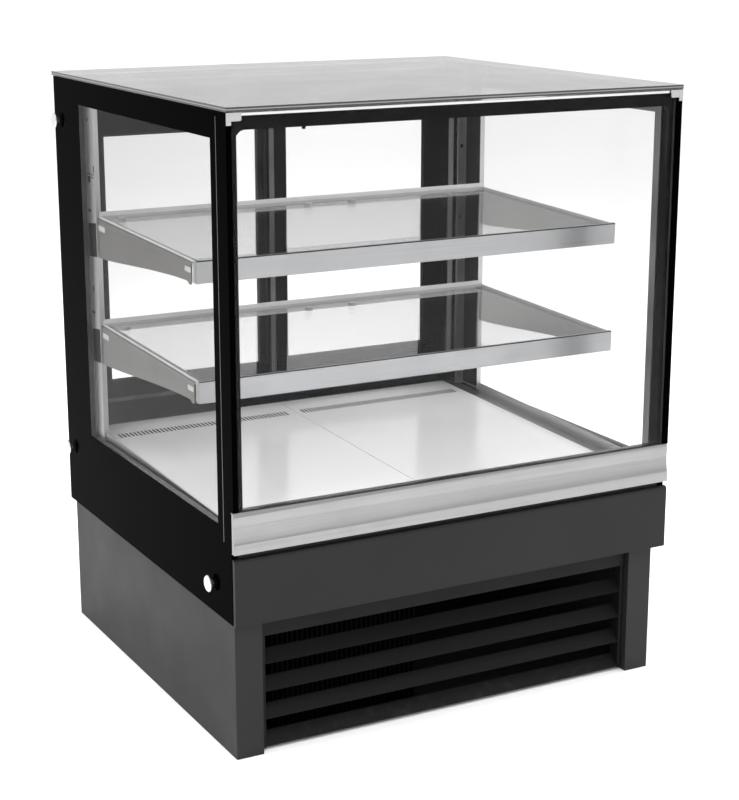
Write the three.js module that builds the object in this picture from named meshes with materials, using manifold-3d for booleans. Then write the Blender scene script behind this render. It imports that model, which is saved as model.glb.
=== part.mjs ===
// Bakery display case: a square glass counter-height cabinet on a louvred machine base.
// Millimetres, +Z up, front facing -Y. Inside this file y is measured backwards from the
// front face; the outer group moves everything so that the case is centred on the origin.
import * as THREE from 'three';
import { mergeVertices } from 'three/addons/utils/BufferGeometryUtils.js';
import Module from 'manifold-3d';

const wasm = await Module();
wasm.setup();

// ---------------------------------------------------------------- driving dimensions
const WIDTH = 900;            // over the side glasses
const DEPTH = 844;            // front face to the back edge of the top glass
const HALF = WIDTH / 2;
const GAP = 0.5;              // free space between separate pieces

const TOP_T = 8;              // top glass thickness
const TOP_Z = 1133;           // overall height
const TOP_UNDER = TOP_Z - TOP_T;

const SIDE_T = 10;            // side glass thickness
const SIDE_IN = HALF - SIDE_T;
const SIDE_Y0 = 2.4;
const NOTCH_Y = 12.5;         // below the sill top the side glass starts here
const SIDE_Y1 = 834;
const SIDE_Z0 = 257;
const SIDE_Z1 = TOP_UNDER - GAP;

const WIN_Y0 = 66;            // clear window inside the black border of a side glass
const WIN_Y1 = 693;
const WIN_Z0 = 425;
const WIN_Z1 = 1079;
const FRAME_W = 19;           // bonded aluminium strip around that window
const FRAME_T = 2.2;

const STANDOFFS = [[812, 1040], [812, 372], [95, 309]];  // y, z of the fixing points
const BOLT_R = 4.8;
const BOLT_HOLE_R = 5.2;
const BOLT_IN = 428;          // the bolts end at this |x|

const FALL = THREE.MathUtils.degToRad(1.5);   // deck and shelves fall to the front
const DECK_Y0 = 62;
const DECK_Y1 = 768;
const DECK_Z0 = 401.9;        // deck surface at its front edge
const DECK_LEN = (DECK_Y1 - DECK_Y0) / Math.cos(FALL);
const PAN_X = 407;
const PAN_SKIRT = 15;
const SHEET = 1.5;
const SLOT_COUNT = 46;
const SLOT_PITCH = 8.2;
const SLOT_W = 4;
const SLOT_L = 27;

const CORE_X = SIDE_IN - GAP;  // pieces that fill the width between the side glasses
const TUB_X = 437;
const TUB_WALL = 25;
const TUB_Z0 = 257.5;

const FASCIA_TOP = 377;
const SILL_TOP = 459.5;
const BASE_X = 440;
const BASE_Y0 = 28;
const BASE_Y1 = 831;
const BASE_TOP = 256.5;
const PILLAR_X = 388;

const PANE_Y = 6;             // front face of the hinged front glass
const PANE_T = 6;
const PANE_X = 438;
const PANE_Z0 = 462;
const PANE_Z1 = 1120;
const HINGE = [10, 1103];     // y, z of the axis the front glass swings on

const HEAD_Z0 = 1054;         // rear door frame
const TRACK_Z = 476;
const TRACKS = [785, 803];    // centre planes of the two door tracks
const GROOVE = 17;
const JAMB_X = 419;
const DOOR_T = 14;
const DOOR_Z0 = 468;
const DOOR_Z1 = 1066;
const DOOR_W = 447;
const STILE = 44;

const SHELF_Y = 173;          // front face of a shelf rail
const SHELF_Z = { upper: 859, lower: 648 };
const SHELF_X = 434;
const RAIL_H = 40;
const SHELF_D = 478;
const SHELF_GLASS_X = 431;
const HOOKS = [-12, -62];      // bracket hooks, below the top of the shelf

const UPRIGHT_Y0 = 655;
const UPRIGHT_Y1 = 727;

// ---------------------------------------------------------------- geometry helpers
const box = (w, d, h) => new THREE.BoxGeometry(w, d, h);

// A box given by its low and high corners.
function block(x0, x1, y0, y1, z0, z1) {
  const g = box(x1 - x0, y1 - y0, z1 - z0);
  g.translate((x0 + x1) / 2, (y0 + y1) / 2, (z0 + z1) / 2);
  return g;
}

function shapeOf(points) {
  return new THREE.Shape(points.map(([a, b]) => new THREE.Vector2(a, b)));
}

function rectHole(shape, a0, a1, b0, b1) {
  shape.holes.push(shapeOf([[a0, b0], [a1, b0], [a1, b1], [a0, b1]]));
  return shape;
}

function roundHole(shape, a, b, r) {
  const sides = r > 20 ? 40 : 16;
  shape.holes.push(shapeOf(arc(a, b, r, 0, 360 - 360 / sides, sides - 1)));
  return shape;
}

const extrude = (shape, depth) => new THREE.ExtrudeGeometry(
  shape, { depth, bevelEnabled: false, curveSegments: 8 });

// Shape drawn in (y, z), swept along x from x0 to x1.
function alongX(shape, x0, x1) {
  const g = extrude(shape, x1 - x0);
  g.applyMatrix4(new THREE.Matrix4().makeBasis(
    new THREE.Vector3(0, 1, 0), new THREE.Vector3(0, 0, 1), new THREE.Vector3(1, 0, 0)));
  return g.translate(x0, 0, 0);
}

// Shape drawn in (x, z), swept along y from y0 to y1.
function alongY(shape, y0, y1) {
  const g = extrude(shape, y1 - y0);
  g.applyMatrix4(new THREE.Matrix4().makeBasis(
    new THREE.Vector3(1, 0, 0), new THREE.Vector3(0, 0, 1), new THREE.Vector3(0, -1, 0)));
  return g.translate(0, y1, 0);
}

const alongZ = (shape, z0, z1) => extrude(shape, z1 - z0).translate(0, 0, z0);

// Closed section of folded sheet: the path is one face, the other lies t to its left.
function folded(path, t) {
  const p = path.map(([a, b]) => new THREE.Vector2(a, b));
  const dirs = p.slice(1).map((q, i) => q.clone().sub(p[i]).normalize());
  const left = p.map((q, i) => {
    const d0 = dirs[Math.max(i - 1, 0)];
    const d1 = dirs[Math.min(i, dirs.length - 1)];
    const n0 = new THREE.Vector2(-d0.y, d0.x);
    const n1 = new THREE.Vector2(-d1.y, d1.x);
    return n0.clone().add(n1).multiplyScalar(t / (1 + n0.dot(n1))).add(q);
  });
  return new THREE.Shape([...p, ...left.reverse()]);
}

// Points of a quarter-like arc, for the rounded folds.
function arc(cx, cy, r, from, to, steps) {
  return Array.from({ length: steps + 1 }, (_, i) => {
    const a = THREE.MathUtils.degToRad(from + ((to - from) * i) / steps);
    return [cx + r * Math.cos(a), cy + r * Math.sin(a)];
  });
}

function toSolid(geometry) {
  const g = geometry.clone();
  g.deleteAttribute('normal');
  g.deleteAttribute('uv');
  const m = mergeVertices(g, 1e-4);
  return new wasm.Manifold(new wasm.Mesh({
    numProp: 3,
    vertProperties: new Float32Array(m.attributes.position.array),
    triVerts: new Uint32Array(m.index.array),
  }));
}

function fromSolid(solid) {
  const mesh = solid.getMesh();
  const g = new THREE.BufferGeometry();
  g.setAttribute('position', new THREE.BufferAttribute(new Float32Array(mesh.vertProperties), 3));
  g.setIndex(new THREE.BufferAttribute(new Uint32Array(mesh.triVerts), 1));
  return g;
}

// Join the first list of shapes and cut the second list from the result.
function carve(adds, cuts = []) {
  let solid = toSolid(adds[0]);
  adds.slice(1).forEach((g) => { solid = solid.add(toSolid(g)); });
  cuts.forEach((g) => { solid = solid.subtract(toSolid(g)); });
  return fromSolid(solid);
}

// A turned shape whose axis is moved from Z to the named axis.
function turned(profile, segments, axis = 'z') {
  const g = new THREE.LatheGeometry(profile.map(([r, h]) => new THREE.Vector2(r, h)), segments);
  g.rotateX(Math.PI / 2);
  if (axis === 'x') g.rotateY(Math.PI / 2);
  if (axis === 'y') g.rotateX(-Math.PI / 2);
  return g;
}

// Plain rod along x or y between two stations.
function rod(r, axis, from, to, a, b, segments = 16) {
  const g = turned([[0, from], [r, from], [r, to], [0, to]], segments, axis);
  return axis === 'x' ? g.translate(0, a, b) : g.translate(a, 0, b);
}

// ---------------------------------------------------------------- materials and placing
const look = (color, roughness, metalness) => () => new THREE.MeshStandardMaterial(
  { color, roughness, metalness });

const BLACK_GLASS = look(0x060607, 0.08, 0);
const CLEAR = look(0xdfe8e6, 0.05, 0);
const TOP_GREY = look(0xa9abac, 0.12, 0);
const CHARCOAL = look(0x38393b, 0.55, 0.2);
const DARK = look(0x2b2c2e, 0.5, 0.2);
const GLOSS_BLACK = look(0x0c0c0d, 0.2, 0);
const STEEL = look(0xbcbcb8, 0.35, 0.9);
const ALU = look(0xb9c0c8, 0.3, 0.9);
const WARM_STEEL = look(0x9b9890, 0.4, 0.8);
const WHITE = look(0xeceeee, 0.25, 0);
const MILKY = look(0xe2e6e6, 0.3, 0);
const CHROME = look(0xe8ecec, 0.1, 1);
const RUBBER = look(0x101011, 0.8, 0);
const FIN = look(0xa8adb1, 0.5, 0.8);
const SCREEN = look(0x15181c, 0.2, 0);

const assembly = new THREE.Group();
assembly.name = 'bakery_display_case';
const cabinet = new THREE.Group();
cabinet.name = 'cabinet';
cabinet.position.y = -DEPTH / 2;
assembly.add(cabinet);

function put(name, geometry, material, parent = cabinet) {
  const mesh = new THREE.Mesh(geometry, material());
  mesh.name = name;
  parent.add(mesh);
  return mesh;
}

// Left piece as drawn at negative x, right piece as its mirror image.
function mirrored(geometry) {
  const g = geometry.index ? geometry.toNonIndexed() : geometry.clone();
  g.scale(-1, 1, 1);
  const p = g.attributes.position;
  for (let i = 0; i < p.count; i += 3) {
    const a = new THREE.Vector3().fromBufferAttribute(p, i + 1);
    const b = new THREE.Vector3().fromBufferAttribute(p, i + 2);
    p.setXYZ(i + 1, b.x, b.y, b.z);
    p.setXYZ(i + 2, a.x, a.y, a.z);
  }
  g.deleteAttribute('normal');
  g.deleteAttribute('uv');
  return g;
}

function pair(name, geometry, material, parent = cabinet) {
  put(`${name}_l`, geometry, material, parent);
  put(`${name}_r`, mirrored(geometry), material, parent);
}

// ---------------------------------------------------------------- machine base
// Side sheet with the front pillar and the rear return folded in plan, plus a foot flange.
function baseSide() {
  const plan = folded([
    [-410, BASE_Y1], [-BASE_X, BASE_Y1], [-BASE_X, BASE_Y0],
    [-PILLAR_X, BASE_Y0], [-PILLAR_X, 70],
  ], 2);
  return carve([
    alongZ(plan, 0, BASE_TOP),
    block(-BASE_X + 1, -400, BASE_Y0 + 1, BASE_Y1 - 1, 0, 2),
  ]);
}

// Floor tray and vented rear wall in one folded sheet, with openings for the controls.
function baseChassis() {
  const cuts = [block(250, 398, 820, 830, 158, 212), rod(8.4, 'y', 820, 830, -360, 50)];
  for (let row = 0; row < 7; row += 1) {
    [-330, -210, -90].forEach(
      (x) => cuts.push(block(x, x + 80, 820, 830, 90 + row * 20, 97 + row * 20)));
  }
  return carve([
    block(-436, 436, 76, 826, 2.4, 4.4),
    block(-409, 409, 824, 826, 3, 254),
  ], cuts);
}

// Grille: header plate, side bars and four blades that slope down to the outside.
function grille() {
  const half = 386;
  const blades = [7, 59, 111, 163].map((z) => alongX(
    shapeOf([[39.5, z], [42.5, z], [64.5, z + 21], [61.5, z + 21]]), -half + 1, half - 1));
  return carve([
    block(-half, half, 39.5, 41.5, 216, 252),
    block(-half + 0.5, -half + 8, 40, 66, 5, 251.5),
    block(half - 8, half - 0.5, 40, 66, 5, 251.5),
    ...blades,
  ]);
}

// Comb of thin fins on a spine, standing for a finned heat exchanger block.
function finBlock(x0, x1, y0, y1, z0, z1, fins) {
  const pitch = (x1 - x0) / fins;
  const points = [[x0, y1], [x0, y0]];
  for (let i = 0; i < fins; i += 1) {
    const x = x0 + i * pitch;
    points.push([x + pitch * 0.35, y0]);
    if (i < fins - 1) points.push([x + pitch * 0.35, y1 - 8], [x + pitch, y1 - 8], [x + pitch, y0]);
  }
  const xe = x0 + (fins - 1) * pitch + pitch * 0.35;
  points.push([xe, y1]);
  return alongZ(shapeOf(points), z0, z1);
}

// Plate with a round fan opening crossed by a bar that carries the motor can.
function fanShroud(x0, x1, y0, z0, z1, cx, cz, r, motorR) {
  const plate = roundHole(shapeOf([[x0, z0], [x1, z0], [x1, z1], [x0, z1]]), cx, cz, r);
  return carve([
    alongY(plate, y0, y0 + 3),
    block(cx - r - 6, cx + r + 6, y0 + 0.5, y0 + 2.5, cz - 6, cz + 6),
    rod(motorR, 'y', y0 + 1, y0 + 22, cx, cz),
  ]);
}

// Hub with five pitched blades, turning about y.
function fanRotor(r, hubR, depth) {
  const blades = Array.from({ length: 5 }, (_, i) => {
    const g = box(hubR * 1.1, 1.6, r - hubR + 4);
    g.rotateZ(0.6);
    g.translate(0, 0, (r + hubR) / 2 - 2);
    g.rotateY((i * Math.PI * 2) / 5);
    return g;
  });
  return carve([rod(hubR, 'y', -depth / 2, depth / 2, 0, 0), ...blades]);
}

function buildBase() {
  pair('base_side', baseSide(), CHARCOAL);
  put('base_chassis', baseChassis(), DARK);
  put('louvre_grille', grille(), DARK);
  put('condenser', finBlock(-340, -40, 96, 140, 8, 208, 30), FIN);
  put('condenser_shroud', fanShroud(-340, -40, 142, 6, 210, -190, 108, 90, 28), DARK);
  const rotor = put('condenser_rotor', fanRotor(84, 26, 20), RUBBER);
  rotor.position.set(-190, 178, 108);
  const pot = [[0, 5], [78, 5], [78, 12], [62, 20], [68, 40], [70, 90], [72, 94], [72, 100],
    [68, 104], [64, 140], [50, 160], [24, 168], [0, 170]];
  put('compressor', turned(pot, 32), RUBBER).position.set(190, 600, 0);
}

// ---------------------------------------------------------------- controls at the back
function rockerGeometry() {
  const face = shapeOf([[-9, -9], [0.5, -13], [4.5, -13], [2.2, 0], [4.5, 13], [0.5, 13], [-9, 9]]);
  return alongX(face, -9, 9);
}

function buildControls() {
  put('control_panel', carve(
    [block(242, 404, 826.5, 829, 148, 222), block(262, 338, 828, 832, 166, 204)],
    [block(355, 377, 820, 835, 170, 200)],
  ), SCREEN);
  const rocker = put('rocker_main', rockerGeometry(), GLOSS_BLACK);
  rocker.position.set(366, 827.5, 185);
  rocker.rotation.x = THREE.MathUtils.degToRad(-7);
  const gland = [[4, 812], [8, 812], [8, 826.5], [14, 826.5], [14, 831], [11, 834],
    [10, 840], [7, 842], [4, 842], [4, 812]];
  put('power_inlet', turned(gland, 20, 'y').translate(-360, 0, 50), RUBBER);
}

// ---------------------------------------------------------------- insulated tub and deck
const deckZ = (y) => DECK_Z0 + (y - DECK_Y0) * Math.tan(FALL);

// Thick-walled trough under the deck, its rim parallel to the deck.
function tub() {
  const side = shapeOf([[14, TUB_Z0], [828, TUB_Z0], [828, deckZ(828) - 2.2], [14, deckZ(14) - 2.2]]);
  const cuts = [block(-TUB_X + TUB_WALL, TUB_X - TUB_WALL, 44, 798, 288, 460)];
  STANDOFFS.filter(([, z]) => z < 400).forEach(([y, z]) => {
    cuts.push(rod(BOLT_HOLE_R, 'x', -TUB_X - 5, -BOLT_IN + 1, y, z));
    cuts.push(rod(BOLT_HOLE_R, 'x', BOLT_IN - 1, TUB_X + 5, y, z));
  });
  return carve([alongX(side, -TUB_X, TUB_X)], cuts);
}

// Upturned tray with one row of air slots along its back edge; x runs from 1 to PAN_X.
function deckPan() {
  const x0 = -PAN_X;
  const x1 = -1;
  const cuts = [block(x0 + SHEET, x1 - SHEET, SHEET, DECK_LEN - SHEET, -PAN_SKIRT - 1, -SHEET)];
  for (let i = 0; i < SLOT_COUNT; i += 1) {
    const x = x0 + 13 + i * SLOT_PITCH;
    const y = DECK_LEN - 96;
    cuts.push(block(x, x + SLOT_W, y, y + SLOT_L, -3, 1));
  }
  return carve([block(x0, x1, 0, DECK_LEN, -PAN_SKIRT, 0)], cuts);
}

// Side rail of the deck: ledge under the pan, flat at deck level, upstand at the glass.
function deckRail() {
  const section = folded([
    [-396, -17], [-410.5, -17], [-410.5, -SHEET], [-432.5, -SHEET], [-432.5, 21],
  ], -SHEET);
  const behindUpstand = block(-440, -429, 590, DECK_LEN + 10, 0.01, 40);
  return carve([alongY(section, 0, DECK_LEN)], [behindUpstand]);
}

function buildDeck() {
  put('tub', tub(), DARK);
  const deck = new THREE.Group();
  deck.name = 'deck';
  deck.position.set(0, DECK_Y0, DECK_Z0);
  deck.rotation.x = FALL;
  cabinet.add(deck);
  put('deck_pan_l', deckPan(), WHITE, deck);
  put('deck_pan_r', deckPan().translate(PAN_X + 1, 0, 0), WHITE, deck);
  pair('deck_rail', deckRail(), STEEL, deck);

  const coil = finBlock(-240, 240, 612, 704, 292, 382, 32);
  const plate = roundHole(shapeOf([[-252, 290], [236, 290], [236, 384], [-252, 384]]), 0, 337, 42);
  put('evaporator', carve([
    coil,
    alongY(plate, 596, 599),
    block(-252, -240 + 2, 597, 704, 290, 384),
    block(-48, 48, 596.5, 598.5, 332, 342),
    rod(16, 'y', 586, 598, 0, 337),
  ]), FIN);
  put('evaporator_rotor', fanRotor(38, 15, 14), RUBBER).position.set(0, 576, 337);
}

// ---------------------------------------------------------------- front sill and fascia
// Full-width sheet profile with closed ends; behind the side glass edges it is narrower.
function capped(section, outline, capT) {
  const behind = [[-HALF - 5, -TUB_X], [TUB_X, HALF + 5]].map(
    ([x0, x1]) => block(x0, x1, NOTCH_Y - 0.3, 80, 250, 470));
  return carve([
    alongX(section, -HALF, HALF),
    alongX(outline, -HALF, -HALF + capT),
    alongX(outline, HALF - capT, HALF),
  ], behind);
}

function buildFront() {
  const face = [
    [5, SILL_TOP], [3, 452], [4, 436], [3, 420], [1.2, 408], [0, 404], [0, 387], [11, 387]];
  const sill = folded([[58, 406], [31, 455], [27, SILL_TOP], ...face], SHEET);
  const end = [...face.slice(0, -1), [9.5, 387], [9.5, SILL_TOP]];
  put('sill', capped(sill, shapeOf(end), SHEET), STEEL);
  put('sill_gasket', block(-437, 437, 4.5, 13.5, SILL_TOP + 0.3, PANE_Z0 - 0.4), RUBBER);
  const bend = [...arc(6, FASCIA_TOP - 6, 6, 90, 180, 4), [0, 257]];
  const front = folded([[11, FASCIA_TOP], ...bend, [12, 257]], 2);
  put('fascia', capped(front, shapeOf([[9, FASCIA_TOP], ...bend, [9, 257]]), 2), CHARCOAL);
}

// ---------------------------------------------------------------- side glasses and top
function sideGlass() {
  const holes = STANDOFFS.map(
    ([y, z]) => rod(BOLT_HOLE_R, 'x', -HALF - 5, -SIDE_IN + 5, y, z));
  const notch = block(-HALF - 5, -SIDE_IN + 5, 0, NOTCH_Y, SIDE_Z0 - 5, SILL_TOP + 1);
  return carve([block(-HALF, -SIDE_IN, SIDE_Y0, SIDE_Y1, SIDE_Z0, SIDE_Z1)], [...holes, notch]);
}

function sideFrame() {
  const ring = shapeOf([
    [WIN_Y0 - FRAME_W, WIN_Z0 - FRAME_W], [WIN_Y1 + FRAME_W, WIN_Z0 - FRAME_W],
    [WIN_Y1 + FRAME_W, WIN_Z1 + FRAME_W], [WIN_Y0 - FRAME_W, WIN_Z1 + FRAME_W]]);
  rectHole(ring, WIN_Y0, WIN_Y1, WIN_Z0, WIN_Z1);
  return alongX(ring, -SIDE_IN + 0.3, -SIDE_IN + 0.3 + FRAME_T);
}

// Button-headed fixing: cap, spacer neck and bolt, along x towards the middle.
function standoff() {
  return turned([[0, -461], [13.5, -461], [15, -459.5], [15, -457], [7, -457], [7, -HALF - 0.3],
    [BOLT_R, -HALF - 0.3], [BOLT_R, -BOLT_IN], [0, -BOLT_IN]], 20, 'x');
}

function buildShell() {
  pair('side_glass', sideGlass(), BLACK_GLASS);
  pair('side_frame', sideFrame(), ALU);
  STANDOFFS.forEach(([y, z], i) => {
    const g = standoff().translate(0, y, z);
    put(`standoff_l${i + 1}`, g, ALU);
    put(`standoff_r${i + 1}`, mirrored(g), ALU);
  });
  put('top_glass', block(-HALF, HALF, 0, DEPTH, TOP_UNDER, TOP_Z), TOP_GREY);
}

// ---------------------------------------------------------------- hinged front glass
// Corner clip on the front edge of the side glass, reaching over the end of the glass rail.
function hingeClip() {
  const clip = shapeOf([[-449.5, 1124], [-449.5, 1104], [-441, 1104], [-441, 1110.5],
    ...arc(-426, 1113.5, 3, 270, 360, 4), [-423, 1124]]);
  return alongY(clip, 0.2, 2.1);
}

// Glass with its head rail, hung on an arm each side whose ear turns in the corner gap.
function buildFrontGlass() {
  put('front_glass', block(-PANE_X, PANE_X, PANE_Y, PANE_Y + PANE_T, PANE_Z0, PANE_Z1), CLEAR);
  const channel = folded([[14.2, 1115], [14.2, 1123], [3.8, 1123], [3.8, 1118.5]], 1.8);
  put('front_glass_rail', alongX(channel, -PANE_X, PANE_X), CHROME);
  pair('hinge_clip', hingeClip(), CHROME);
  const arm = shapeOf([
    [-437, 980], [-427, 980], [-427, 1086], [-420, 1093], [-410, 1096], [-410, 1113], [-437, 1113]]);
  pair('hinge_arm', carve([
    alongY(arm, 12.4, 18.4),
    block(-439.6, -436.5, 12.4, 18.4, HINGE[1] - 5, HINGE[1] + 5),
    block(-439.6, -438.4, HINGE[0], 18.4, HINGE[1] - 5, HINGE[1] + 5),
    rod(5, 'x', -439.6, -438.4, ...HINGE),
  ]), GLOSS_BLACK);
}

// ---------------------------------------------------------------- rear frame and doors
// Hollow head profile with two door grooves in its underside.
function rearHead() {
  const roof = 1070;
  const outline = [[745, HEAD_Z0]];
  TRACKS.forEach((y) => outline.push([y - GROOVE / 2, HEAD_Z0], [y - GROOVE / 2, roof],
    [y + GROOVE / 2, roof], [y + GROOVE / 2, HEAD_Z0]));
  outline.push([832, HEAD_Z0], [832, 1124], [745, 1124]);
  const section = rectHole(shapeOf(outline), 749, 828, 1074, 1120);
  return alongX(section, -CORE_X, CORE_X);
}

// Kick plate facing the deck, grooved tread and rear drop in one profile.
function rearSill() {
  const floor = 466;
  const outline = [[772, 422], [772, TRACK_Z]];
  TRACKS.forEach((y) => outline.push([y - GROOVE / 2, TRACK_Z], [y - GROOVE / 2, floor],
    [y + GROOVE / 2, floor], [y + GROOVE / 2, TRACK_Z]));
  outline.push([832, TRACK_Z], [832, 422], [829.5, 422], [829.5, 463], [774.5, 463], [774.5, 422]);
  return alongX(shapeOf(outline), -CORE_X, CORE_X);
}

function rearJamb() {
  const cuts = STANDOFFS.filter(([, z]) => z > 400).map(
    ([y, z]) => rod(BOLT_HOLE_R, 'x', -CORE_X - 5, -BOLT_IN + 1, y, z));
  return carve([block(-CORE_X, -JAMB_X, 774, 832, TRACK_Z + GAP, HEAD_Z0 - GAP)], cuts);
}

// Framed sliding leaf from x = 0 to DOOR_W, with a finger recess on its outer side.
function doorFrame(gripX) {
  const ring = shapeOf([[0, DOOR_Z0], [DOOR_W, DOOR_Z0], [DOOR_W, DOOR_Z1], [0, DOOR_Z1]]);
  rectHole(ring, STILE, DOOR_W - STILE, 506, 1010);
  const grip = block(gripX - 9, gripX + 9, DOOR_T / 2 - 5, DOOR_T / 2 + 1, 690, 830);
  return carve([alongY(ring, -DOOR_T / 2, DOOR_T / 2)], [grip]);
}

function buildRear() {
  put('rear_head', rearHead(), DARK);
  put('rear_sill', rearSill(), GLOSS_BLACK);
  pair('rear_jamb', rearJamb(), DARK);
  [['l', -418, TRACKS[0], STILE / 2], ['r', -29, TRACKS[1], DOOR_W - STILE / 2]].forEach(
    ([side, x, y, grip]) => {
      const leaf = new THREE.Group();
      leaf.name = `door_${side}`;
      leaf.position.set(x, y, 0);
      cabinet.add(leaf);
      put(`door_${side}_frame`, doorFrame(grip), GLOSS_BLACK, leaf);
      const pane = block(STILE + GAP, DOOR_W - STILE - GAP, -2.5, 2.5, 506 + GAP, 1010 - GAP);
      put(`door_${side}_glass`, pane, CLEAR, leaf);
    });
}

// ---------------------------------------------------------------- uprights and shelves
// Folded channel standing on the deck, with service holes and slots for the shelf hooks.
function upright() {
  const plan = folded([
    [-427, UPRIGHT_Y0], [-435.5, UPRIGHT_Y0], [-435.5, UPRIGHT_Y1], [-415, UPRIGHT_Y1],
  ], SHEET);
  const cuts = [[4, 1051], [7, 937], [5, 724]].map(
    ([r, z]) => rod(r, 'x', -440, -430, 685, z));
  const rise = SHELF_D * Math.sin(FALL);
  Object.values(SHELF_Z).forEach((z) => HOOKS.forEach((dz) => cuts.push(
    block(-433.9, -431, UPRIGHT_Y0 - 3, UPRIGHT_Y0 + 4, z + rise + dz - 6, z + rise + dz + 6))));
  return carve([alongZ(plan, 422, 1121)], cuts);
}

// Bracket plate with a curved lower edge, an inward top flange and two rear hooks.
// Local frame of a shelf: y back from the rail's front face, z up from the rail's top.
function bracket() {
  const edge = [[50, -42], [100, -45], [200, -54], [300, -65], [380, -74], [440, -80], [SHELF_D, -82]];
  const side = shapeOf([
    [22, -6.5], [22, -40], [26, -46], [34, -46], [38, -42], ...edge, [SHELF_D, -6.5]]);
  const hooks = HOOKS.map((z) => block(-433.6, -431.6, SHELF_D - 1, SHELF_D + 14, z - 4, z + 4));
  return carve([
    alongX(side, -433.6, -431.6),
    block(-433, -416, 22, SHELF_D - 3, -8.5, -6.5),
    ...hooks,
  ]);
}

// Front profile: lip, ledge for the glass and a deep face with a folded foot.
function shelfRail() {
  const section = shapeOf([
    [0, -RAIL_H], [12, -RAIL_H], [12, -RAIL_H + 2], [2, -RAIL_H + 2], [2, -8.5], [20, -8.5],
    [20, -6.5], [3.5, -6.5], [3.5, 0], [1, 0], [0, -1]]);
  return alongX(section, -SHELF_X, SHELF_X);
}

function buildShelf(level) {
  const shelf = new THREE.Group();
  shelf.name = `shelf_${level}`;
  shelf.position.set(0, SHELF_Y, SHELF_Z[level]);
  shelf.rotation.x = FALL;
  cabinet.add(shelf);
  const id = (part) => `shelf_${level}_${part}`;
  pair(id('bracket'), bracket(), WARM_STEEL, shelf);
  put(id('rail'), shelfRail(), ALU, shelf);
  put(id('glass'), block(-SHELF_GLASS_X, SHELF_GLASS_X, 4, 474, -6, -1), CLEAR, shelf);
  put(id('led'), block(-420, 420, 2.6, 11.6, -37.5, -33), MILKY, shelf);
  const strip = shapeOf([[446, -10.8], [SHELF_D, -10.8], [SHELF_D, 7], [476, 7], [476, -9], [446, -9]]);
  put(id('back_strip'), alongX(strip, -SHELF_GLASS_X, SHELF_GLASS_X), MILKY, shelf);
}

buildBase();
buildControls();
buildDeck();
buildFront();
buildShell();
buildFrontGlass();
buildRear();
pair('upright', upright(), STEEL);
Object.keys(SHELF_Z).forEach(buildShelf);

export default assembly;
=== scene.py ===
import math

import bmesh
import bpy
from mathutils import Euler, Matrix, Vector


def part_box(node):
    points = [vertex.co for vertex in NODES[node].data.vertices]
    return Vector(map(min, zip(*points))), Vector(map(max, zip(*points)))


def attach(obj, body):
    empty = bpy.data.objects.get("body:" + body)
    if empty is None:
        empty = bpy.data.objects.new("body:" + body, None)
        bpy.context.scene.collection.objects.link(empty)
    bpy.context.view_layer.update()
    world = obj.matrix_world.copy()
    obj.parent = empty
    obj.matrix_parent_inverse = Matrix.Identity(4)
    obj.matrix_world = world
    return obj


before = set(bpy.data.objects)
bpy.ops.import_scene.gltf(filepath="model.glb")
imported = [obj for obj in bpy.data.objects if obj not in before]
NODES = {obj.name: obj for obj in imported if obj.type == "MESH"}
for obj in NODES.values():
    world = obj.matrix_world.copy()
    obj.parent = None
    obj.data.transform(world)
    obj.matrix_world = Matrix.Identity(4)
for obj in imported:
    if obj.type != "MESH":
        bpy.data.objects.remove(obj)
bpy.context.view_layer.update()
MM = 0.001
SIDES = (("l", -1), ("r", 1))

SHEET = 1.5 * MM                       # folded sheet of the uprights
FALL = math.radians(1.5)               # deck and shelves fall to the front
FALL_TURN = Matrix.Rotation(FALL, 3, "X")
TOP_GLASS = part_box("top_glass")

# ---------------------------------------------------------------- surfaces
SOCKETS = {
    "color": "Base Color",
    "metal": "Metallic",
    "rough": "Roughness",
    "ior": "IOR",
    "spec": "Specular IOR Level",
    "coat": "Coat Weight",
    "coat_rough": "Coat Roughness",
    "aniso": "Anisotropic",
}


def rgb(value):
    """A colour from one grey level or three levels."""
    levels = (value, value, value) if isinstance(value, (int, float)) else value
    return (*levels, 1.0)


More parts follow.
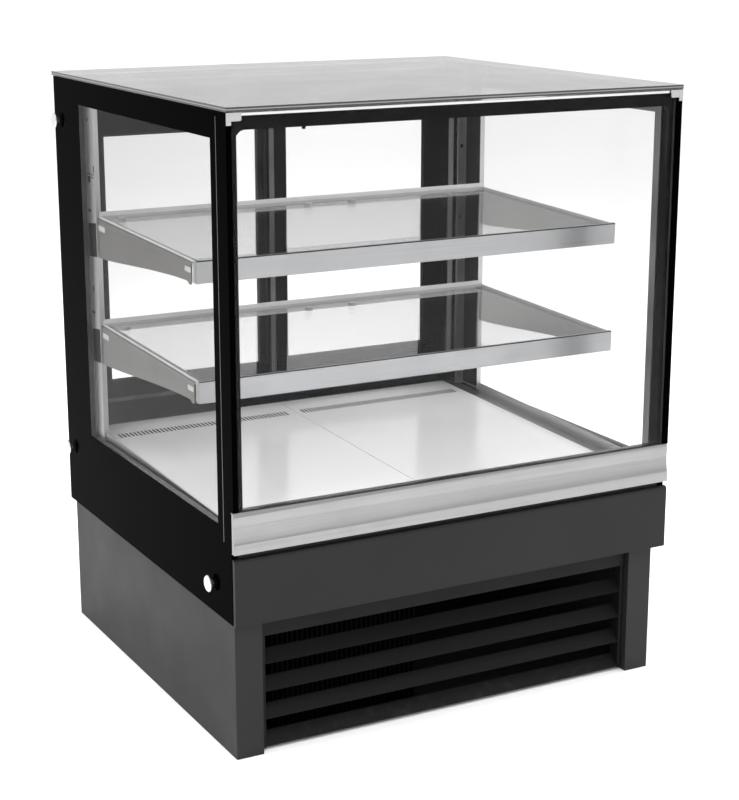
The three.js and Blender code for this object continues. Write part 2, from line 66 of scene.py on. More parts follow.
class Surface:
    """A Principled material with procedural variation fed into its sockets."""

    def __init__(self, name, **sockets):
        self.material = bpy.data.materials.new(name)
        self.material.use_nodes = True
        self.tree = self.material.node_tree
        self.shader = self.tree.nodes["Principled BSDF"]
        for key, value in sockets.items():
            if key == "color":
                value = rgb(value)
            self.shader.inputs[SOCKETS[key]].default_value = value
        self.coord = self.tree.nodes.new("ShaderNodeTexCoord")

    def add(self, kind, **settings):
        node = self.tree.nodes.new(kind)
        for key, value in settings.items():
            setattr(node, key, value)
        return node

    def link(self, source, target):
        self.tree.links.new(source, target)

    def place(self, stretch, offset=(0, 0, 0)):
        mapping = self.add("ShaderNodeMapping")
        mapping.inputs["Scale"].default_value = stretch
        mapping.inputs["Location"].default_value = offset
        self.link(self.coord.outputs["Object"], mapping.inputs["Vector"])
        return mapping.outputs["Vector"]

    def noise(self, scale, stretch=(1, 1, 1), detail=4.0, rough=0.55, offset=(0, 0, 0)):
        noise = self.add("ShaderNodeTexNoise")
        noise.inputs["Scale"].default_value = scale
        noise.inputs["Detail"].default_value = detail
        noise.inputs["Roughness"].default_value = rough
        self.link(self.place(stretch, offset), noise.inputs["Vector"])
        return noise.outputs["Fac"]

    def span(self, fac, low, high, start=0.3, end=0.7):
        """Maps a factor between two values, flat outside start and end."""
        rng = self.add("ShaderNodeMapRange", clamp=True)
        for key, value in (("From Min", start), ("From Max", end), ("To Min", low), ("To Max", high)):
            rng.inputs[key].default_value = value
        self.link(fac, rng.inputs["Value"])
        return rng.outputs["Result"]

    def mix(self, fac, a, b):
        mix = self.add("ShaderNodeMix", data_type="RGBA")
        self.link(fac, mix.inputs["Factor"])
        for index, value in ((6, a), (7, b)):
            if isinstance(value, bpy.types.NodeSocket):
                self.link(value, mix.inputs[index])
            else:
                mix.inputs[index].default_value = rgb(value)
        return mix.outputs[2]

    def math(self, operation, a, b=None):
        node = self.add("ShaderNodeMath", operation=operation)
        for index, value in ((0, a), (1, b)):
            if isinstance(value, bpy.types.NodeSocket):
                self.link(value, node.inputs[index])
            elif value is not None:
                node.inputs[index].default_value = value
        return node.outputs[0]

    def axis(self, output, index):
        split = self.add("ShaderNodeSeparateXYZ")
        self.link(self.coord.outputs[output], split.inputs[0])
        return split.outputs[index]

    def set(self, key, socket):
        self.link(socket, self.shader.inputs[SOCKETS[key]])
        return self

    def bump(self, layers):
        """Stacks (height socket, strength, distance) layers into the normal."""
        normal = None
        for height, strength, distance in layers:
            bump = self.add("ShaderNodeBump")
            bump.inputs["Strength"].default_value = strength
            bump.inputs["Distance"].default_value = distance
            self.link(height, bump.inputs["Height"])
            if normal is not None:
                self.link(normal, bump.inputs["Normal"])
            normal = bump.outputs["Normal"]
        self.link(normal, self.shader.inputs["Normal"])
        return self


def powder_coat(name, dark, light, rough_low, rough_high, spec=0.25):
    """Fine-grained satin paint with a trace of dust towards the floor."""
    s = Surface(name, metal=0.0, spec=spec)
    broad = s.noise(3.0, detail=3.0)
    tone = s.mix(s.span(broad, 0.0, 1.0), dark, light)
    near_floor = s.span(s.axis("Object", 2), 0.12, 0.0, 0.0, 0.07)
    speck = s.span(s.noise(60.0, detail=5.0), 0.0, 1.0, 0.52, 0.75)
    dusty = s.mix(s.math("MULTIPLY", near_floor, speck), tone, (0.10, 0.098, 0.094))
    s.set("color", dusty)
    s.set("rough", s.span(s.noise(9.0, detail=6.0), rough_low, rough_high))
    return s.bump([(s.noise(900.0, detail=2.0), 0.12, 0.0002), (s.noise(22.0), 0.03, 0.0005)])


def brushed(name, dark, light, rough_low, rough_high, stretch, streak=0.14, metal=1.0):
    """Metal with a grain drawn along one axis, faint bands and finger marks."""
    s = Surface(name, metal=metal, aniso=0.35)
    grain = s.noise(1.0, stretch=stretch, detail=6.0, rough=0.7)
    band = s.noise(2.2, detail=3.0, offset=(3.1, 0.4, 1.7))
    tone = s.mix(s.span(band, 0.0, 1.0), dark, light)
    darker = tuple(0.86 * v for v in rgb(dark)[:3])
    s.set("color", s.mix(s.span(grain, 0.0, 0.55, 0.45, 0.7), tone, darker))
    smear = s.span(s.noise(14.0, detail=5.0), 0.0, 0.09, 0.5, 0.72)
    base = s.span(grain, rough_low, rough_high)
    s.set("rough", s.math("ADD", base, smear))
    return s.bump([(grain, streak, 0.00012)])


def gloss_paint(name, dark, light, rough_low, rough_high, spec=0.5, coat=0.0, ripple=0.02, ior=1.5):
    """Smooth paint, print or enamel with wiped smears in its gloss."""
    s = Surface(name, spec=spec, coat=coat, coat_rough=0.04, ior=ior)
    s.set("color", s.mix(s.span(s.noise(4.0), 0.0, 1.0), dark, light))
    smear = s.noise(11.0, detail=7.0, rough=0.65)
    s.set("rough", s.span(smear, rough_low, rough_high, 0.35, 0.75))
    return s.bump([(s.noise(35.0, detail=2.0), ripple, 0.0004)])


def plain_plastic(name, dark, light, rough_low, rough_high, grain=0.1, **extra):
    """Moulded plastic or rubber with a fine surface grain."""
    s = Surface(name, spec=0.4, **extra)
    s.set("color", s.mix(s.span(s.noise(14.0), 0.0, 1.0), dark, light))
    s.set("rough", s.span(s.noise(25.0, detail=6.0), rough_low, rough_high))
    return s.bump([(s.noise(700.0, detail=2.0), grain, 0.0002)])


def pane(name, axis, clear, edge, painted_far_edge_light=None, mirror=1.0, haze_and_sheen=0.012, line=None):
    """Thin-walled glass: clear and mirroring on its faces, solid-looking on its cut edges.

    painted_far_edge_light is a paler tone painted on an edge seen from inside the glass, standing in
    for the backdrop light that shines through it; line a height with a lighter band.
    """
    s = Surface(name, rough=0.18, spec=0.5)
    tree = s.tree
    out = tree.nodes["Material Output"]
    through = s.add("ShaderNodeBsdfTransparent")
    through.inputs["Color"].default_value = rgb(clear)
    gloss = s.add("ShaderNodeBsdfGlossy")
    gloss.inputs["Color"].default_value = rgb(mirror)
    s.link(s.span(s.noise(6.0, detail=6.0), 0.0, 0.02), gloss.inputs["Roughness"])
    fresnel = s.add("ShaderNodeFresnel")
    behind = s.add("ShaderNodeNewGeometry").outputs["Backfacing"]
    s.link(s.span(behind, 1.45, 1 / 1.45, 0.0, 1.0), fresnel.inputs["IOR"])
    body = s.add("ShaderNodeMixShader")
    s.link(fresnel.outputs[0], body.inputs[0])
    s.link(through.outputs[0], body.inputs[1])
    s.link(gloss.outputs[0], body.inputs[2])
    # pale diffuse film mixed in streaks: a slight haze on most panes; on the top glass it is strong
    # and paints pale streaks of faint reflection
    film = s.add("ShaderNodeBsdfDiffuse")
    film.inputs["Color"].default_value = rgb(0.9)
    haze_sheen_mix = s.add("ShaderNodeMixShader")
    s.link(s.span(s.noise(9.0, detail=7.0, rough=0.7), 0.0, haze_and_sheen, 0.4, 0.8), haze_sheen_mix.inputs[0])
    s.link(body.outputs[0], haze_sheen_mix.inputs[1])
    s.link(film.outputs[0], haze_sheen_mix.inputs[2])
    facing = s.math("ABSOLUTE", s.axis("Normal", axis))
    is_edge = s.math("LESS_THAN", facing, 0.6)
    tone = s.noise(40.0, detail=3.0)
    grain = s.mix(s.span(tone, 0.0, 1.0), edge, min(1.0, 1.18 * edge))
    if line is not None:
        off = s.math("ABSOLUTE", s.math("SUBTRACT", s.axis("Object", 2), line))
        grain = s.mix(s.span(off, 1.0, 0.0, 0.0004, 0.0012), grain, 0.22)
    # painted light: edges seen from inside the glass get a pale tone in place of the light passing
    # through them
    if painted_far_edge_light is not None:
        grain = s.mix(behind, grain, painted_far_edge_light)
    s.set("color", grain)
    last = s.add("ShaderNodeMixShader")
    s.link(is_edge, last.inputs[0])
    s.link(haze_sheen_mix.outputs[0], last.inputs[1])
    s.link(s.shader.outputs[0], last.inputs[2])
    s.link(last.outputs[0], out.inputs["Surface"])
    return s


ALONG_X = (4.0, 420.0, 420.0)
ALONG_Y = (420.0, 4.0, 420.0)
ALONG_Z = (420.0, 420.0, 4.0)

SURFACES = {
    "charcoal": powder_coat("charcoal_paint", 0.0105, 0.0120, 0.46, 0.54, 0.2),
    "base_paint": powder_coat("base_paint", 0.0155, 0.0170, 0.46, 0.54, 0.2),
    "grille": powder_coat("grille_paint", 0.0045, 0.006, 0.46, 0.54, 0.14),
    "rear_skin": powder_coat("rear_skin_paint", 0.020, 0.025, 0.42, 0.55),
    "black_glass": gloss_paint("black_glass", 0.0003, 0.0005, 0.05, 0.12, ripple=0.003, ior=1.025),
    "print": gloss_paint("black_print", 0.0003, 0.0005, 0.12, 0.2, ripple=0.006, ior=1.025),
    "black_profile": gloss_paint("black_profile", 0.005, 0.008, 0.2, 0.32, ior=1.12),
    "black_kick": gloss_paint("black_kick", 0.001, 0.002, 0.2, 0.3, ior=1.06),
    "track": gloss_paint("track_grey", 0.05, 0.07, 0.25, 0.35, spec=0.3),
    "stile": gloss_paint("stile_grey", 0.11, 0.14, 0.25, 0.35, spec=0.3),
    "sill": brushed("sill_steel", 0.31, 0.35, 0.32, 0.42, ALONG_X, 0.05),
    "kick": brushed("kick_steel", 0.50, 0.56, 0.3, 0.4, ALONG_Y, 0.05),
    "upright": brushed("upright_steel", 0.58, 0.64, 0.32, 0.42, ALONG_Z, 0.05),
    "rail": brushed(
        "rail_aluminium", (0.38, 0.385, 0.395), (0.42, 0.425, 0.435), 0.28, 0.36, ALONG_X, 0.04),
    "strip": brushed("frame_strip", 0.22, 0.26, 0.3, 0.36, ALONG_Z, 0.02),
    "stud": brushed("stud_steel", 0.70, 0.78, 0.18, 0.28, (300, 300, 300), 0.03),
    "bracket": brushed(
        "bracket_steel", (0.235, 0.23, 0.22), (0.275, 0.27, 0.26), 0.32, 0.42, ALONG_Y, 0.05),
    "trim": brushed("bright_trim", 0.80, 0.86, 0.08, 0.14, ALONG_X, 0.02),
    "clip_metal": brushed("clip_metal", 0.52, 0.58, 0.2, 0.28, ALONG_X, 0.02),
    # near-black colour on the aluminium fins is painted shade: they sit deep in shade inside the
    # cabinet
    "fins": plain_plastic("fins_painted_shade", 0.0012, 0.0022, 0.6, 0.8, 0.05, ior=1.1),
    "deck": gloss_paint("white_enamel", 0.87, 0.90, 0.14, 0.26, coat=0.2, ripple=0.008),
    "rubber": plain_plastic("seal_rubber", 0.008, 0.014, 0.6, 0.8, 0.2),
    "plastic": plain_plastic("black_plastic", 0.010, 0.015, 0.35, 0.5, 0.12),
    "panel": plain_plastic("panel_plastic", 0.02, 0.028, 0.3, 0.4, 0.06),
    "lens": gloss_paint("display_lens", 0.002, 0.004, 0.04, 0.08, coat=0.5),
    "enamel": gloss_paint("compressor_enamel", 0.006, 0.012, 0.3, 0.5),
    "milky": plain_plastic("milky_strip", 0.68, 0.75, 0.18, 0.3, 0.03),
    "clip": plain_plastic("grey_clip", 0.30, 0.36, 0.3, 0.4, 0.05),
    "pale_clip": plain_plastic("pale_clip", 0.6, 0.68, 0.3, 0.4, 0.05),
    "glass_y": pane("glass_upright_y", 1, 0.985, 0.03, mirror=0.2, haze_and_sheen=0.002),
    "glass_x": pane("glass_upright_x", 0, 0.985, 0.02, mirror=0.15, haze_and_sheen=0.002),
    "glass_shelf": pane("glass_shelf", 2, 0.955, 0.58, mirror=0.6, haze_and_sheen=0.008),
    # the strong haze here paints pale streaks that stand in for faint reflections on the top glass
    "glass_top": pane("glass_top", 2, 0.66, 0.028, painted_far_edge_light=0.72, haze_and_sheen=0.05,
                      line=(TOP_GLASS[0].z + TOP_GLASS[1].z) / 2),
}

# ---------------------------------------------------------------- CAD nodes
FINISH = {
    "charcoal": ["fascia"],
    "base_paint": ["base_side_l", "base_side_r"],
    "grille": ["louvre_grille", "condenser_shroud"],
    "rear_skin": ["base_chassis", "tub"],
    "black_glass": ["side_glass_l", "side_glass_r"],
    "black_profile": [
        "rear_head", "rear_jamb_l", "rear_jamb_r",
        "door_l_frame", "door_r_frame", "hinge_arm_l", "hinge_arm_r",
    ],
    "black_kick": ["rear_sill"],
    "sill": ["sill"],
    "kick": ["deck_rail_l", "deck_rail_r"],
    "upright": ["upright_l", "upright_r"],
    "rail": ["shelf_upper_rail", "shelf_lower_rail"],
    "strip": ["side_frame_l", "side_frame_r"],
    "stud": [f"standoff_{side}{i}" for side in "lr" for i in (1, 2, 3)],
    "bracket": [f"shelf_{v}_bracket_{side}" for v in ("upper", "lower") for side in "lr"],
    "trim": ["front_glass_rail"],
    "clip_metal": ["hinge_clip_l", "hinge_clip_r"],
    "fins": ["condenser", "evaporator"],
    "deck": ["deck_pan_l", "deck_pan_r"],
    "rubber": ["sill_gasket", "power_inlet"],
    "plastic": ["condenser_rotor", "evaporator_rotor", "rocker_main"],
    "panel": ["control_panel"],
    "enamel": ["compressor"],
    "milky": [f"shelf_{v}_{part}" for v in ("upper", "lower") for part in ("led", "back_strip")],
    "glass_y": ["front_glass", "door_l_glass", "door_r_glass"],
    "glass_shelf": ["shelf_upper_glass", "shelf_lower_glass"],
    "glass_top": ["top_glass"],
}
EDGE = {
    "side_glass_l": 0.8, "side_glass_r": 0.8, "top_glass": 0.8, "front_glass": 0.5,
    "fascia": 0.6,
    "louvre_grille": 0.5, "base_side_l": 0.8, "base_side_r": 0.8,
    "door_l_frame": 1.0, "door_r_frame": 1.0, "rear_jamb_l": 1.0, "rear_jamb_r": 1.0,
    "hinge_arm_l": 0.8, "hinge_arm_r": 0.8, "front_glass_rail": 0.5,
}


def rounding():
    """Geometry nodes that shade smooth across shallow edges and keep the sharp ones."""
    group = bpy.data.node_groups.new("smooth_shallow_edges", "GeometryNodeTree")
    group.is_modifier = True
    for way in ("INPUT", "OUTPUT"):
        group.interface.new_socket("Geometry", in_out=way, socket_type="NodeSocketGeometry")
    start = group.nodes.new("NodeGroupInput")
    end = group.nodes.new("NodeGroupOutput")
    angle = group.nodes.new("GeometryNodeInputMeshEdgeAngle")
    shallow = group.nodes.new("FunctionNodeCompare")
    shallow.data_type, shallow.operation = "FLOAT", "LESS_THAN"
    shallow.inputs[1].default_value = math.radians(32)
    edges = group.nodes.new("GeometryNodeSetShadeSmooth")
    edges.domain = "EDGE"
    faces = group.nodes.new("GeometryNodeSetShadeSmooth")
    group.links.new(angle.outputs["Unsigned Angle"], shallow.inputs[0])
    group.links.new(start.outputs[0], edges.inputs["Geometry"])
    group.links.new(shallow.outputs[0], edges.inputs["Shade Smooth"])
    group.links.new(edges.outputs[0], faces.inputs["Geometry"])
    group.links.new(faces.outputs[0], end.inputs[0])
    return group


ROUNDING = rounding()


def dress(node, surface):
    """Gives a CAD node its surface and small rounded edges."""
    obj = NODES[node]
    obj.data.materials.clear()
    obj.data.materials.append(SURFACES[surface].material)
    weld = obj.modifiers.new("weld", "WELD")
    weld.merge_threshold = 2e-5
    width = EDGE.get(node)
    if width:
        flat = obj.modifiers.new("flat", "DECIMATE")
        flat.decimate_type = "DISSOLVE"
        flat.angle_limit = math.radians(0.5)
        bevel = obj.modifiers.new("edge", "BEVEL")
        bevel.width = width * MM
        bevel.segments = 2
        bevel.limit_method = "ANGLE"
        bevel.angle_limit = math.radians(40)
        bevel.harden_normals = True
    else:
        obj.modifiers.new("round", "NODES").node_group = ROUNDING
        even = obj.modifiers.new("even", "WEIGHTED_NORMAL")
        even.keep_sharp = True
        even.weight = 100


for surface, nodes in FINISH.items():
    for node in nodes:
        dress(node, surface)


# ---------------------------------------------------------------- new pieces
def make(name, build, surface, body):
    """A new mesh object from a bmesh builder, riding on a CAD body."""
    mesh = bpy.data.meshes.new(name)
    work = bmesh.new()
    build(work)
    bmesh.ops.recalc_face_normals(work, faces=work.faces)
    work.to_mesh(mesh)
    work.free()
    obj = bpy.data.objects.new(name, mesh)
    bpy.context.scene.collection.objects.link(obj)
    mesh.materials.append(SURFACES[surface].material)
    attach(obj, body)
    return obj


def block(work, lo, hi, round_by=0.0005, steps=2, turn=None, about=None):
    """A box with softened edges between two corners, optionally turned about a point."""
    lo, hi = Vector(lo), Vector(hi)
    size = hi - lo
    made = bmesh.ops.create_cube(work, size=1.0)["verts"]
    bmesh.ops.scale(work, vec=size, verts=made)
    bmesh.ops.translate(work, vec=(lo + hi) / 2, verts=made)
    if round_by > 0:
        edges = list({e for v in made for e in v.link_edges})
        out = bmesh.ops.bevel(
            work, geom=edges, offset=min(round_by, min(size) * 0.3), segments=steps,
            profile=0.5, affect="EDGES")
        made = list({v for f in out["faces"] for v in f.verts} | {v for v in made if v.is_valid})
    if turn is not None:
        bmesh.ops.rotate(work, cent=about, matrix=turn, verts=made)


def prism(work, outline, axis, a0, a1):
    """A closed prism of a polygon given in the two axes that aren't the named one."""
    others = [i for i in range(3) if i != axis]

    def corner(p, a):
        v = [0.0, 0.0, 0.0]
        v[others[0]], v[others[1]], v[axis] = p[0], p[1], a
        return work.verts.new(v)

    low = [corner(p, a0) for p in outline]
    high = [corner(p, a1) for p in outline]
    work.faces.new(low)
    work.faces.new(list(reversed(high)))
    for i in range(len(outline)):
        j = (i + 1) % len(outline)
        work.faces.new((low[i], low[j], high[j], high[i]))


def side_windows():
    """Cuts the clear opening out of the black pane and fills it with clear glass."""
    for side in "lr":
        ring_lo, ring_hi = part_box(f"side_frame_{side}")
        pane_lo, pane_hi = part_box(f"side_glass_{side}")
        inset = 19 * MM
        lo = Vector((pane_lo.x, ring_lo.y + inset, ring_lo.z + inset))
        hi = Vector((pane_hi.x, ring_hi.y - inset, ring_hi.z - inset))
        cutter = bpy.data.objects.new(f"cut_{side}", bpy.data.meshes.new(f"cut_{side}"))
        work = bmesh.new()
        out = Vector((5 * MM, 0, 0))
        block(work, lo - out, hi + out, 0)
        bmesh.ops.recalc_face_normals(work, faces=work.faces)
        work.to_mesh(cutter.data)
        work.free()
        bpy.context.scene.collection.objects.link(cutter)
        cutter.hide_render = cutter.hide_viewport = True
        glass = NODES[f"side_glass_{side}"]
        cut = glass.modifiers.new("window", "BOOLEAN")
        cut.object, cut.operation, cut.solver = cutter, "DIFFERENCE", "EXACT"
        glass.modifiers.move(len(glass.modifiers) - 1, 1)
        play = Vector((0.2, 0.2, 0.2)) * MM
        make(f"side_window_{side}", lambda w, a=lo + play, b=hi - play: block(w, a, b, 0),
             "glass_x", "cabinet")


side_windows()


def mm(*v):
    return Vector(v) * MM


def front_print():
    """Black printed border on the back of the front glass: head band, side bands and a tab."""
    lo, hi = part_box("front_glass")
    top, side = 25 * MM, 10 * MM
    left, right = lo.x + side, hi.x - side
    under = hi.z - top
    notch = lo.x + 127 * MM
    outline = [
        (lo.x, lo.z), (left, lo.z), (left, under), (notch, under), (notch, under - 4 * MM),
        (notch + 7 * MM, under - 4 * MM), (notch + 7 * MM, under), (right, under),
        (right, lo.z), (hi.x, lo.z), (hi.x, hi.z - 0.3 * MM), (lo.x, hi.z - 0.3 * MM)]
    make("front_glass_print", lambda w: prism(w, outline, 1, hi.y + 0.05 * MM, hi.y + 0.3 * MM),
         "print", "front_glass_body")


def side_lines():
    """Fine grey line down the front of each black border."""
    for side, sign in SIDES:
        lo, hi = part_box(f"side_glass_{side}")
        face = lo.x if sign < 0 else hi.x
        a, b = sorted((face, face + sign * 0.15 * MM))
        make(f"side_line_{side}", lambda w, a=a, b=b, y=lo.y: block(
            w, (a, y + 39.5 * MM, lo.z + 142 * MM), (b, y + 41.3 * MM, hi.z - 9 * MM), 0),
             "track", "cabinet")


def rear_trims():
    """Pale strips that show on the rear frame: jamb covers, a grey strip of painted highlight along
    the track's edge, and the door's meeting stile.
    """
    lo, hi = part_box("rear_sill")
    front = lo.y - 0.15 * MM
    # painted highlight: a grey strip near the top of the rear sill standing in for the light line on
    # the track's edge
    make("track_edge_highlight", lambda w: block(
        w, (lo.x + 2 * MM, front - 0.7 * MM, hi.z - 10 * MM), (hi.x - 2 * MM, front, hi.z - 1.5 * MM)),
         "track", "cabinet")
    for side, sign in SIDES:
        jlo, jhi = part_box(f"rear_jamb_{side}")
        a, b = (jhi.x - 13 * MM, jhi.x - 1 * MM) if sign < 0 else (jlo.x + 1 * MM, jlo.x + 13 * MM)
        make(f"jamb_cover_{side}", lambda w, a=a, b=b, y=jlo.y, z0=jlo.z, z1=jhi.z: block(
            w, (a, y - 1.1 * MM, z0 + 2 * MM), (b, y - 0.1 * MM, z1 - 2 * MM)),
             "clip", "cabinet")
    dlo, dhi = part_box("door_l_frame")
    make("door_l_strip", lambda w: block(
        w, (dhi.x - 40 * MM, dlo.y - 0.8 * MM, dlo.z + 14 * MM),
        (dhi.x - 29 * MM, dlo.y - 0.1 * MM, dhi.z - 16 * MM)), "stile", "door_left")
    for side, body in (("l", "door_left"), ("r", "door_right")):
        glass_lo, glass_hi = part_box(f"door_{side}_glass")
        bead = 4 * MM

        def beads(w, a=glass_lo, b=glass_hi):
            for y0, y1 in ((a.y - 1.6 * MM, a.y - 0.1 * MM), (b.y + 0.1 * MM, b.y + 1.6 * MM)):
                block(w, (a.x, y0, a.z), (a.x + bead, y1, b.z), 0.0004)
                block(w, (b.x - bead, y0, a.z), (b.x, y1, b.z), 0.0004)
                block(w, (a.x + bead, y0, a.z), (b.x - bead, y1, a.z + bead), 0.0004)
                block(w, (a.x + bead, y0, b.z - bead), (b.x - bead, y1, b.z), 0.0004)

        make(f"door_{side}_bead", beads, "rubber", body)


def upright_details():
    """Dark liner inside each upright; covers, fold lines, hook slots and notches on its outer face."""
    covers = [(0.787, 0.852), (0.577, 0.643)]
    fold_lines = (0.942, 0.9475)
    hook_slots = (0.877, 0.6765)
    notch_low, notch_high = 0.952, 0.966
    hole_low, hole_high = 0.946, 0.953
    for side, sign in SIDES:
        lo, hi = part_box(f"upright_{side}")
        outer = lo.x if sign < 0 else hi.x
        inner = outer - sign * SHEET
        y0, y1 = lo.y + 3 * MM, hi.y - 2.5 * MM

        def beyond(face, way, depth):
            return sorted((face + way * 0.05 * MM, face + way * depth * MM))

        def liner(w):
            a, b = beyond(inner, -sign, 0.35)
            block(w, (a, y0, lo.z + 4 * MM), (b, y1, hi.z - 4 * MM), 0)
            back = hi.y - SHEET
            x0, x1 = sorted((outer - sign * 9 * MM, outer - sign * 15 * MM))
            block(w, (x0, back - 0.35 * MM, hole_low), (x1, back - 0.05 * MM, hole_high), 0)

        def marks(w):
            a, b = beyond(outer, sign, 0.4)
            for z0, z1 in covers:
                outline = [
                    (y0, z0 + 3 * MM), (y1, z0 - 3 * MM), (y1, z1 - 4 * MM), (y0, z1 + 4 * MM)]
                prism(w, outline, 0, a, b)
            for z in fold_lines:
                block(w, (a, y0, z), (b, y1, z + 1.6 * MM), 0)
            for z in hook_slots:
                block(w, (a, y0 + 24 * MM, z - 1.6 * MM), (b, y0 + 40 * MM, z + 1.6 * MM), 0)
            for y in (y0, y1 - 4 * MM):
                block(w, (a, y, notch_low), (b, y + 4 * MM, notch_high), 0)

        make(f"upright_liner_{side}", liner, "black_profile", "cabinet")
        make(f"upright_marks_{side}", marks, "black_kick", "cabinet")


def deck_slot_shade():
    """Black blocks just below the surface in the air slots along the rear of each deck pan: painted
    shade inside the slots.
    """
    count, pitch, width, length, first, margin = 46, 8.2, 4.0, 27.0, 13.0, 96.0
    skirt = 15 * MM
    play, low, high = 0.1, -1.3, -0.15
    for side in "lr":
        lo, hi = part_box(f"deck_pan_{side}")
        origin = Vector((lo.x, lo.y, lo.z + skirt * math.cos(FALL)))
        depth = (hi.y - lo.y) / math.cos(FALL) / MM

        def slots(w, origin=origin, depth=depth):
            y = depth - margin
            for i in range(count):
                x = first + i * pitch
                block(w, origin + mm(x + play, y + play, low),
                      origin + mm(x + width - play, y + length - play, high),
                      0, turn=FALL_TURN, about=origin)

        # painted shade: black blocks set just under the deck surface inside each air slot
        make(f"deck_slot_shade_{side}", slots, "black_kick", "cabinet")


def shelf_details(level):
    """Bumpers on the glass, a dark strip of painted shadow under the rail's top lip, end caps on the
    rail, pale tabs on the brackets.
    """
    lo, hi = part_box(f"shelf_{level}_rail")
    origin = Vector((0, lo.y, hi.z))

    def tilted(w, a, b, round_by=0.0005):
        block(w, origin + mm(*a), origin + mm(*b), round_by, turn=FALL_TURN, about=origin)

    def bumpers(w):
        for x in (-412, -19, 79):
            made = bmesh.ops.create_cone(w, cap_ends=True, segments=28, radius1=9 * MM,
                                         radius2=7.6 * MM, depth=6 * MM)["verts"]
            bmesh.ops.translate(w, vec=origin + mm(x, 408, 3.4), verts=made)
            bmesh.ops.rotate(w, cent=origin, matrix=FALL_TURN, verts=made)

    def tabs(w):
        for sign in (-1, 1):
            for y0, y1, z0, z1 in ((24, 49, -25, -16), (442, 474, -28, -18)):
                a, b = sorted((sign * 433.7, sign * 434.6))
                tilted(w, (a, y0, z0), (b, y1, z1), 0.0003)

    def caps(w):
        for sign in (-1, 1):
            a, b = sorted((sign * 434.1, sign * 435.2))
            tilted(w, (a, 0.2, -39.5), (b, 11, -0.6), 0.0004)

    # painted shadow: a black strip just in front of the rail face, under its top lip
    def shadow_line(w):
        tilted(w, (-433.5, -0.16, -2.4), (433.5, -0.04, -0.5), 0)

    make(f"shelf_{level}_bumpers", bumpers, "clip", "cabinet")
    make(f"shelf_{level}_rail_shadow_line", shadow_line, "black_profile", "cabinet")
    make(f"shelf_{level}_tabs", tabs, "pale_clip", "cabinet")
    make(f"shelf_{level}_caps", caps, "clip", "cabinet")


def screw_heads(name, spots, radius, surface):
    """Low domed screw heads facing the service side."""
    def build(w):
        for x, y, z in spots:
            made = bmesh.ops.create_uvsphere(w, u_segments=20, v_segments=10, radius=radius)["verts"]
            bmesh.ops.scale(w, vec=(1, 0.45, 1), verts=made)
            bmesh.ops.translate(w, vec=(x, y, z), verts=made)

    return make(name, build, surface, "cabinet")


def rear_fixings():
    """Screws that hold the chassis wall and the tub's rear skin."""
    lo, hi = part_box("base_chassis")
    y = hi.y + 0.6 * MM
    edge = 12 * MM
    spots = [(x, y, z) for x in (-0.395, 0.0, 0.395) for z in (lo.z + 20 * MM, hi.z - edge)]
    screw_heads("chassis_screws", spots, 4 * MM, "stud")
    lo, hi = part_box("tub")
    y = hi.y + 0.6 * MM
    spots = [(x, y, z) for x in (-0.42, -0.14, 0.14, 0.42) for z in (lo.z + edge, hi.z - edge)]
    screw_heads("tub_screws", spots, 4 * MM, "stud")


def control_details():
    """Dark lens with a row of keys below it on the control panel."""
    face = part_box("control_panel")[1].y
    lens_x, lens_z = (0.268, 0.332), (0.182, 0.201)
    key_xs, key_w, key_z = (0.272, 0.288, 0.304, 0.320), 8 * MM, (0.170, 0.177)
    make("control_lens", lambda w: block(
        w, (lens_x[0], face + 0.1 * MM, lens_z[0]), (lens_x[1], face + 0.9 * MM, lens_z[1])),
         "lens", "cabinet")

    def keys(w):
        for x in key_xs:
            block(w, (x, face + 0.1 * MM, key_z[0]), (x + key_w, face + 0.7 * MM, key_z[1]), 0.0004)

    make("control_keys", keys, "plastic", "cabinet")


front_print()
side_lines()
rear_trims()
upright_details()
deck_slot_shade()
for level in ("upper", "lower"):
    shelf_details(level)
rear_fixings()
control_details()

# ---------------------------------------------------------------- stage
FLOOR_HALF = 90
floor_mesh = bpy.data.meshes.new("floor")
floor_mesh.from_pydata(
    [(x * FLOOR_HALF, y * FLOOR_HALF, 0) for x, y in ((-1, -1), (1, -1), (1, 1), (-1, 1))],
    [], [(0, 1, 2, 3)])
floor = bpy.data.objects.new("floor", floor_mesh)
bpy.context.scene.collection.objects.link(floor)
floor_look = Surface("floor_paint", rough=0.9, spec=0.1)
floor_look.set("color", floor_look.mix(
    floor_look.span(floor_look.noise(1.5), 0.0, 1.0), 0.91, 0.935))
floor_mesh.materials.append(floor_look.material)


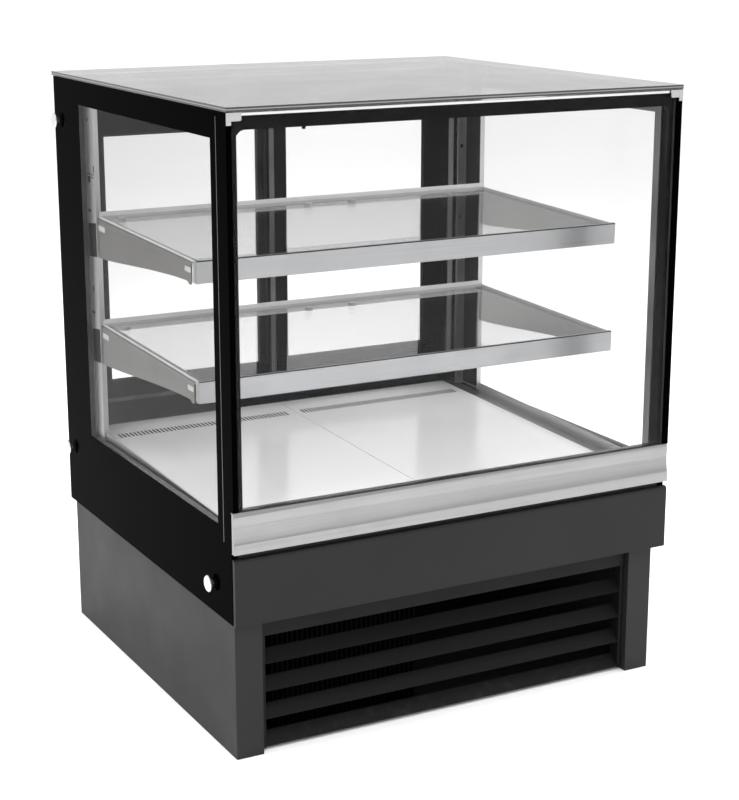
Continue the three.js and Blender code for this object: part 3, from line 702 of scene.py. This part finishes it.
def softbox(name, spot, aim, size, power):
    """A large soft lamp that lights surfaces but isn't mirrored in them."""
    lamp = bpy.data.lights.new(name, "AREA")
    lamp.shape = "RECTANGLE"
    lamp.size, lamp.size_y = size
    lamp.energy = power
    obj = bpy.data.objects.new(name, lamp)
    obj.location = spot
    obj.rotation_euler = (Vector(aim) - Vector(spot)).to_track_quat("-Z", "Y").to_euler()
    obj.visible_glossy = False
    bpy.context.scene.collection.objects.link(obj)
    return obj


softbox("top_light", (0.0, 0.2, 4.6), (0, 0, 0.5), (5.0, 5.0), 210)
softbox("front_light", (-2.6, -4.2, 3.0), (0, 0, 0.6), (2.6, 2.6), 110)
softbox("right_light", (4.2, -1.6, 2.2), (0, 0, 0.6), (2.2, 2.6), 60)

world = bpy.data.worlds.new("studio")
bpy.context.scene.world = world
world.use_nodes = True
wt = world.node_tree
backdrop = wt.nodes["Background"]
sky = wt.nodes.new("ShaderNodeBackground")
sky.inputs["Strength"].default_value = 1.3
coord = wt.nodes.new("ShaderNodeTexCoord")
split = wt.nodes.new("ShaderNodeSeparateXYZ")
ramp = wt.nodes.new("ShaderNodeValToRGB")
ramp.color_ramp.elements[0].position = 0.0
ramp.color_ramp.elements[0].color = (0.58, 0.58, 0.583, 1)
ramp.color_ramp.elements[1].position = 0.8
ramp.color_ramp.elements[1].color = (1.0, 1.0, 1.0, 1)
wt.links.new(coord.outputs["Generated"], split.inputs[0])
wt.links.new(split.outputs["Z"], ramp.inputs["Fac"])
wt.links.new(ramp.outputs["Color"], sky.inputs["Color"])
backdrop.inputs["Color"].default_value = (1, 1, 1, 1)
backdrop.inputs["Strength"].default_value = 1.0
path = wt.nodes.new("ShaderNodeLightPath")
pick = wt.nodes.new("ShaderNodeMixShader")
wt.links.new(path.outputs["Is Camera Ray"], pick.inputs[0])
wt.links.new(sky.outputs[0], pick.inputs[1])
wt.links.new(backdrop.outputs[0], pick.inputs[2])
wt.links.new(pick.outputs[0], wt.nodes["World Output"].inputs["Surface"])

scene = bpy.context.scene
scene.view_settings.view_transform = "Standard"
scene.cycles.transparent_max_bounces = 40
scene.cycles.max_bounces = 12

camera = bpy.data.objects.new("camera", bpy.data.cameras.new("camera"))
scene.collection.objects.link(camera)
camera.location = (-1.61586, -3.06333, 1.40955)
camera.rotation_euler = Euler((math.radians(75.36), 0, math.radians(-28.31)))
camera.data.lens = 81.71
camera.data.clip_end = 200
scene.camera = camera
